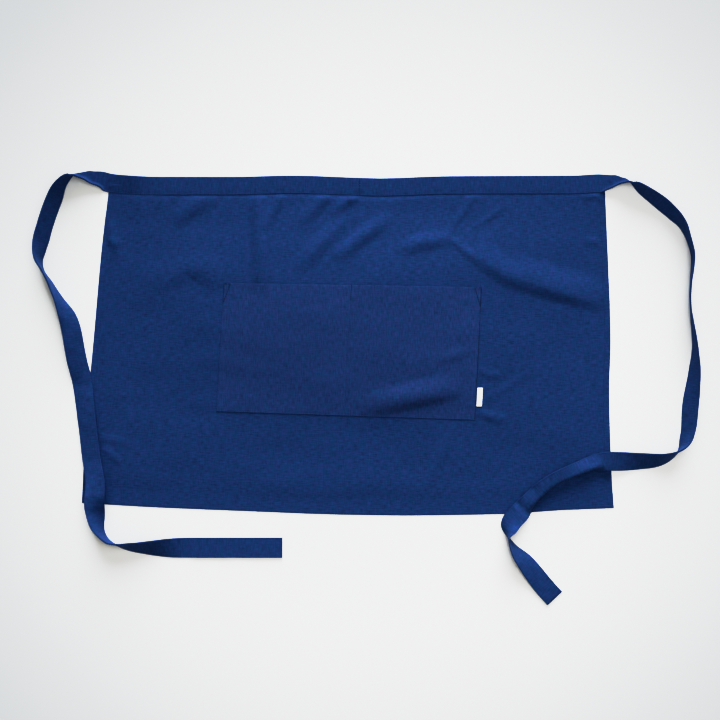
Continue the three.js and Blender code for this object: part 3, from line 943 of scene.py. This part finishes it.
def folded_ribbon():
    """The ribbon's section carried along the pocket's seam."""
    section_x, section_z = ribbon_section()
    along = np.linspace(-0.5, 0.5, LABEL_STEPS)
    seam_length = POCKET_TOP_RIGHT.y - POCKET_BOTTOM_RIGHT.y
    down = LABEL_PLACE - along * LABEL_LENGTH / seam_length
    seam_x = part_way(POCKET_TOP_RIGHT.x, POCKET_BOTTOM_RIGHT.x, down)[:, None]
    seam_y = part_way(POCKET_TOP_RIGHT.y, POCKET_BOTTOM_RIGHT.y, down)[:, None]
    x = seam_x + GAP + section_x
    y = np.broadcast_to(seam_y, x.shape)
    off_ends = 1 - (2 * along[:, None]) ** 2 * LIFT_LOST_AT_ENDS
    lift = RIBBON_LIFT * (section_x / LABEL_WIDTH) ** 2 * off_ends
    z = skirt_underside(x, y) + CLOTH + GAP + FOLD_OUTSIDE + section_z + lift
    points = np.stack([x, y, z], axis=-1).reshape(-1, 3)
    numbers = np.arange(x.size).reshape(x.shape)
    around = np.hstack([numbers, numbers[:, :1]])
    faces = grid_quads(around)[:, ::-1].tolist()
    faces.append(numbers[0][::-1].tolist())
    faces.append(numbers[-1].tolist())
    along_section = distance_along(np.column_stack([section_x, section_z]))
    on_cloth = np.stack(np.broadcast_arrays(along_section, along[:, None] * LABEL_LENGTH), axis=-1)
    return points, faces, on_cloth.reshape(-1, 2) * MILLIMETRE


label = cloth_object("label_folded", *folded_ribbon(), ribbon_finish())
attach(label, "root")
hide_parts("label")


# Waistband and ties
# Two strips of the same linen, with their edges folded in and then folded in two, bind the skirt's top edge
# and run on as ties. They meet in a seam at the waistband's middle, and are stitched along their open edge.
BAND_THICKNESS = 2 * BAND_WALL + CLOTH + 2 * GAP
TIE_THICKNESS = 2
TIE_END_WIDTH = 30
SEAM_X = -10
SEAM_GAP = 0.06
CREASE = 0.35
CREASE_SOFTNESS = 0.25
LIFT_SOFTNESS = 0.24
SECTION_STEP = 2.5
CURL_STEPS = 41
BAND_ROW_STEP = 30
TIE_SLOT = 0.25
TIE_SLOT_DEPTH = 2.5
FLOOR = 0
ON_SKIRT = 1.5
CLIMBING = 1
LIP_TAPER = 0.35
LIP_TAPER_WIDTH = 5
FACE_STEPS = 15
TURN_STEPS = 5
SLOT_STEPS = 4

# A low waver along the ties, which runs a little ahead at the open edge.
WAVER = [Swell(61, 0, 0.4, 0.16), Swell(37, 0, 2.2, 0.10), Swell(23, 0, 4.0, 0.05)]
WAVER_AHEAD = 9

# A tie's middle line runs through x, y, and rest is the height of its lowest point. Rolled by 0 degrees it
# lies face up, and by 90 it stands on its folded edge. The curl turns its open edge down, or where it is
# below 0 its folded edge. The lift turns the open edge up, from a crease at lift_from, which is 1 at the
# open edge and -1 at the folded one.
TieRow = namedtuple("TieRow", "x y roll rest curl lift lift_from", defaults=[0, 0, 1])
LEFT_TIE = [
    TieRow(-382, 307, -9, FLOOR),
    TieRow(-396, 310.5, -5, FLOOR, 0, 84, 0.56),
    TieRow(-411, 311.3, -2, FLOOR, 0, 84, 0.2),
    TieRow(-426, 315, 0, FLOOR, 0, 82, -0.42),
    TieRow(-433, 317, 8, FLOOR, 0, 74, -0.7),
    TieRow(-438.5, 317.3, 82, FLOOR, 0, 0, -0.9),
    TieRow(-453, 304.5, 107, FLOOR),
    TieRow(-466, 277, 127, FLOOR),
    TieRow(-482, 228, 127, FLOOR),
    TieRow(-486, 206, 115, FLOOR),
    TieRow(-486.5, 191, 97, FLOOR),
    TieRow(-481, 176, 83, FLOOR),
    TieRow(-471.5, 161, 87, FLOOR),
    TieRow(-463.5, 146, 95, FLOOR),
    TieRow(-454.5, 129, 107, 1),
    TieRow(-443, 106, 136, 5),
    TieRow(-437.5, 84, 154, 6),
    TieRow(-434.5, 62, 158, 4),
    TieRow(-431.5, 42, 163, 2.5),
    TieRow(-425, 11, 178, CLIMBING),
    TieRow(-417, -48, 193, ON_SKIRT),
    TieRow(-409, -108, 192, 4),
    TieRow(-405, -125, 189, 8),
    TieRow(-402, -141, 184, 13),
    TieRow(-402, -157, 178, 16),
    TieRow(-403, -173, 163, 11.5),
    TieRow(-402, -189, 140, 2.5),
    TieRow(-399, -204, 118, FLOOR),
    TieRow(-393, -217, 97, FLOOR),
    TieRow(-383, -228, 86, FLOOR),
    TieRow(-371, -233, 75, FLOOR),
    TieRow(-354, -236, 60, FLOOR),
    TieRow(-327, -238, 42, FLOOR),
    TieRow(-288, -239, 10, FLOOR),
    TieRow(-250, -239, -3, FLOOR),
    TieRow(-125, -239, -3, FLOOR),
]
RIGHT_TIE = [
    TieRow(348, 306.7, 0, FLOOR),
    TieRow(360, 306, -1, FLOOR, 0, 84, 0.58),
    TieRow(369.5, 305.5, -2, FLOOR, 0, 84, 0.2),
    TieRow(381.5, 306.7, 0, FLOOR, 0, 82, -0.3),
    TieRow(389.5, 307.7, 8, FLOOR, 0, 74, -0.62),
    TieRow(397, 306, 82, FLOOR, 0, 0, -0.9),
    TieRow(415, 293, 107, FLOOR),
    TieRow(438.5, 276, 118, FLOOR),
    TieRow(459.5, 256.5, 110, FLOOR),
    TieRow(472, 241, 95, FLOOR),
    TieRow(483, 212, 82, FLOOR),
    TieRow(486, 195, 81, FLOOR),
    TieRow(482, 134, 73, FLOOR),
    TieRow(489, 64, 86, FLOOR),
    TieRow(489, 34, 102, FLOOR),
    TieRow(483, -25, 125, FLOOR),
    TieRow(477, -72, 113, FLOOR),
    TieRow(465, -94, 77, FLOOR),
    TieRow(442, -106, 49, FLOOR),
    TieRow(409, -109, 27, CLIMBING),
    TieRow(379, -109, 11, 6),
    TieRow(358, -109, 2, 9.5, -6),
    TieRow(347, -111.5, -14, 6.5, -58),
    TieRow(337, -114.5, -22, 5.5, -95),
    TieRow(325, -119.5, -16, 6, -110),
    TieRow(314, -124.5, -8, 6, -120),
    TieRow(302, -130, -1, 5.5, -120),
    TieRow(290, -135, 3, 5, -120),
    TieRow(268, -148.5, 0, 4, -120),
    TieRow(254, -161, -16, 3, -110),
    TieRow(241, -174, -8, 2, -65),
    TieRow(228, -187, -10, 6),
    TieRow(217, -199, -22, 4),
    TieRow(212.5, -209, -47, 1.5),
    TieRow(211, -220, -90, FLOOR),
    TieRow(221, -241, -117, FLOOR),
    TieRow(240, -263, -151, FLOOR),
    TieRow(266, -296, -174, FLOOR),
    TieRow(283, -315, -178, FLOOR),
]
STRIP_PLACE = ["index", "x", "y"]
STRIP_FORM = ["roll", "rest", "curl", "lift", "lift_from"]
STRIP_SIZES = ["width", "thickness", "slot", "slot_depth", "taper"]
StripRow = namedtuple("StripRow", STRIP_PLACE + STRIP_FORM + STRIP_SIZES)


def strip_rows(tie, side):
    """The rows of a whole strip: along the waistband from its middle seam, then along the tie."""
    seam_x = SEAM_X - side * SEAM_GAP / 2
    band_x = even_lines(seam_x, tie[0].x, BAND_ROW_STEP)[:-1]
    count = len(band_x) + len(tie)
    rows = []
    for index in range(count):
        width = part_way(STRIP_WIDTH, TIE_END_WIDTH, index / (count - 1))
        on_skirt = index <= len(band_x)
        thickness = BAND_THICKNESS if on_skirt else TIE_THICKNESS
        slot = CLOTH + GAP if on_skirt else TIE_SLOT
        taper = LIP_TAPER if on_skirt else 0
        depth = SEAM_DEPTH + 2 * GAP if on_skirt else TIE_SLOT_DEPTH
        if index < len(band_x):
            x = band_x[index]
            place = TieRow(x, float(band_line(x)), float(band_tilt(x)), FLOOR)
        else:
            place = tie[index - len(band_x)]
        rows.append(StripRow(index, *place, width, thickness, slot, depth, taper))
    return rows


def route(points):
    """A reader of place and heading on a smooth line, by a point's number and the share past it."""
    ahead_of_first = 2 * points[0] - points[1]
    after_last = 2 * points[-1] - points[-2]
    line = np.concatenate([[ahead_of_first], points, [after_last]])
    root_length = np.sqrt(np.linalg.norm(np.diff(line, axis=0), axis=1))[:, None]
    before, here, after = root_length[:-2], root_length[1:-1], root_length[2:]
    last, start, end, coming = line[:-3], line[1:-2], line[2:-1], line[3:]
    leave = ((start - last) / before - (end - last) / (before + here) + (end - start) / here) * here
    arrive = ((end - start) / here - (coming - start) / (here + after) + (coming - end) / after) * here

    def read(place):
        stretch = np.clip(place.astype(int), 0, len(points) - 2)
        share = (place - stretch)[:, None]
        eased = ease(share)
        at = start[stretch] * (1 - eased) + end[stretch] * eased
        at += leave[stretch] * share * (1 - share) ** 2
        at += arrive[stretch] * share * share * (share - 1)
        heading = (end[stretch] - start[stretch]) * 6 * share * (1 - share)
        heading += leave[stretch] * (1 - share) * (1 - 3 * share)
        heading += arrive[stretch] * share * (3 * share - 2)
        return at, heading / np.linalg.norm(heading, axis=1, keepdims=True)

    return read


def strip_section(half_width, half_thick, half_slot, depth, taper):
    """The strip's outline, from its open edge round the fold and back, as distances across and through."""
    edge_thick = half_thick - taper
    lip = (edge_thick - half_slot) / 2
    share = (1 - np.cos(np.linspace(0, np.pi, FACE_STEPS))) / 2
    face = part_way(half_width - lip, half_thick - half_width, share)
    from_edge = half_width - lip - face
    level = half_thick - taper * np.exp(-((from_edge / LIP_TAPER_WIDTH) ** 2))
    level = level - groove(from_edge + lip - EDGE_STITCH)
    fold = np.radians(np.linspace(90, 270, TURN_STEPS + 2)[1:-1])
    fold_across = half_thick - half_width + half_thick * np.cos(fold)
    fold_through = half_thick * np.sin(fold)
    turn = np.radians(np.linspace(-90, 90, TURN_STEPS + 2)[1:-1])
    lip_across = half_width - lip + lip * np.cos(turn)
    lip_through = (edge_thick + half_slot) / 2 + lip * np.sin(turn)
    wall = part_way(half_width - lip, half_width - depth, np.linspace(0, 1, SLOT_STEPS))
    wall_through = np.ones_like(wall) * half_slot
    across = [face, fold_across, face[:, ::-1], lip_across, wall, wall[:, ::-1], lip_across]
    through = [
        level,
        fold_through,
        -level[:, ::-1],
        -lip_through[:, ::-1],
        -wall_through,
        wall_through,
        lip_through,
    ]
    return np.hstack(across), np.hstack(through)


Strip = namedtuple(
    "Strip", "middle aside face half_width half_thick half_slot depth taper curl lift lift_from run"
)


def creased(share, crease, softness):
    """How far a turn has come at a share across, with its crease rounded off."""
    return soft_step(share, crease - softness, crease + softness)


def bend(strip, across, through):
    """Turns the edges of a flat section down by the strip's curl and up by its lift."""
    share = np.linspace(-1, 1, CURL_STEPS)
    towards = np.sign(strip.curl)[:, None]
    turn = strip.curl[:, None] * creased(towards * share, CREASE, CREASE_SOFTNESS)
    turn = turn - strip.lift[:, None] * creased(share, strip.lift_from[:, None], LIFT_SOFTNESS)
    step = strip.half_width[:, None] * (share[1] - share[0])
    run = np.cumsum((np.cos(turn[:, 1:]) + np.cos(turn[:, :-1])) / 2 * step, axis=1)
    drop = np.cumsum((np.sin(turn[:, 1:]) + np.sin(turn[:, :-1])) / 2 * step, axis=1)
    run = np.pad(run, ((0, 0), (1, 0)))
    drop = np.pad(drop, ((0, 0), (1, 0)))
    run -= run[:, CURL_STEPS // 2, None]
    drop -= drop[:, CURL_STEPS // 2, None]
    at = across / strip.half_width[:, None]

    def read(table):
        return np.array([np.interp(row, share, values) for row, values in zip(at, table)])

    angle = read(turn)
    return read(run) + through * np.sin(angle), through * np.cos(angle) - read(drop), angle


def on_strip(strip, across, through):
    """Points of a strip at distances across and through it, and the way out of its face there."""
    share = across / strip.half_width[:, None]
    is_tie = soft_step(-strip.half_thick[:, None], -BAND_THICKNESS / 2, -TIE_THICKNESS / 2)
    along = strip.run[:, None] + WAVER_AHEAD * share
    waver = sum(wave.height * np.sin(2 * np.pi * along / wave.length + wave.start) for wave in WAVER)
    bent_across, bent_through, angle = bend(strip, across, through + is_tie * waver)
    points = (
        strip.middle[:, None]
        + bent_across[..., None] * strip.aside[:, None]
        + bent_through[..., None] * strip.face[:, None]
    )
    points[..., 2] = np.maximum(points[..., 2], TABLE_CLEARANCE)
    out = np.sin(angle)[..., None] * strip.aside[:, None] + np.cos(angle)[..., None] * strip.face[:, None]
    return points, out


def flat_section(strip):
    """The strip's outline at each step along it, before it is bent."""
    columns = [strip.half_width, strip.half_thick, strip.half_slot, strip.depth, strip.taper]
    return strip_section(*[column[:, None] for column in columns])


def strip_frames(rows, side):
    """The strip's middle, its ways across and out of its face, and its sizes, at close steps along it."""
    points = np.array([(row.x, row.y) for row in rows], float)
    gaps = np.linalg.norm(np.diff(points, axis=0), axis=1)
    places = [even_lines(i, i + 1, SECTION_STEP / gap)[:-1] for i, gap in enumerate(gaps)]
    place = np.append(np.concatenate(places), len(rows) - 1)
    at, heading = route(points)(place)
    read = {name: steady(rows, "index", name)(place) for name in STRIP_FORM + STRIP_SIZES}
    roll = np.radians(read["roll"])[:, None]
    flat_aside = np.column_stack([-heading[:, 1] * side, heading[:, 0] * side, np.zeros(len(place))])
    aside = np.cos(roll) * flat_aside + np.sin(roll) * UP
    face = np.cos(roll) * UP - np.sin(roll) * flat_aside
    strip = Strip(
        middle=np.column_stack([at, np.zeros(len(place))]),
        aside=aside,
        face=face,
        half_width=read["width"] / 2,
        half_thick=read["thickness"] / 2,
        half_slot=read["slot"] / 2,
        depth=read["slot_depth"],
        taper=read["taper"],
        curl=np.radians(read["curl"]),
        lift=np.radians(read["lift"]),
        lift_from=read["lift_from"],
        run=np.zeros(len(place)),
    )
    across, through, _ = bend(strip, *flat_section(strip))
    lowest = (across * aside[:, 2:] + through * face[:, 2:]).min(axis=1)
    middle = np.column_stack([at, read["rest"] - lowest])
    return strip._replace(middle=middle, run=distance_along(middle))


def strip_mesh(strip, side):
    """The strip's points and faces, and each point's place on its flat cloth."""
    across, through = flat_section(strip)
    points, _ = on_strip(strip, across, through)
    numbers = np.arange(across.size).reshape(across.shape)
    faces = grid_quads(np.hstack([numbers, numbers[:, :1]])).tolist()
    faces.append(numbers[0].tolist())
    faces.append(numbers[-1][::-1].tolist())
    if side > 0:
        faces = [turned[::-1] for turned in faces]
    sideways = np.diff(across, axis=1, prepend=across[:, :1])
    upwards = np.diff(through, axis=1, prepend=through[:, :1])
    around = np.cumsum(np.hypot(sideways, upwards), axis=1)
    on_cloth = np.stack([around, np.broadcast_to(strip.run[:, None], around.shape)], axis=-1)
    return points.reshape(-1, 3), faces, on_cloth.reshape(-1, 2) * MILLIMETRE


def strip_runs(strip):
    """Stitches along the strip's open edge, on both of its faces."""
    across = (strip.half_width - EDGE_STITCH)[:, None]
    dip = strip.taper * math.exp(-((EDGE_STITCH / LIP_TAPER_WIDTH) ** 2)) + STITCH_GROOVE
    level = (strip.half_thick - dip)[:, None]
    runs = []
    for way in (1, -1):
        points, out = on_strip(strip, across, way * level)
        runs.append((points[:, 0], way * out[:, 0]))
    return runs


for strip_name, tie, side in [("left", LEFT_TIE, 1), ("right", RIGHT_TIE, -1)]:
    frames = strip_frames(strip_rows(tie, side), side)
    strip = cloth_object(f"{strip_name}_strip", *strip_mesh(frames, side), linen)
    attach(strip, "root")
    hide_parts(f"waistband_tie_{strip_name}")
    strip_stitches = stitches(
        f"{strip_name}_strip_stitches", strip_runs(frames), thread, THREAD_HALF_WIDTH
    )
    flat = ((STRIP_WIDTH + TIE_END_WIDTH) / 2 * MILLIMETRE, frames.run[-1] * MILLIMETRE)
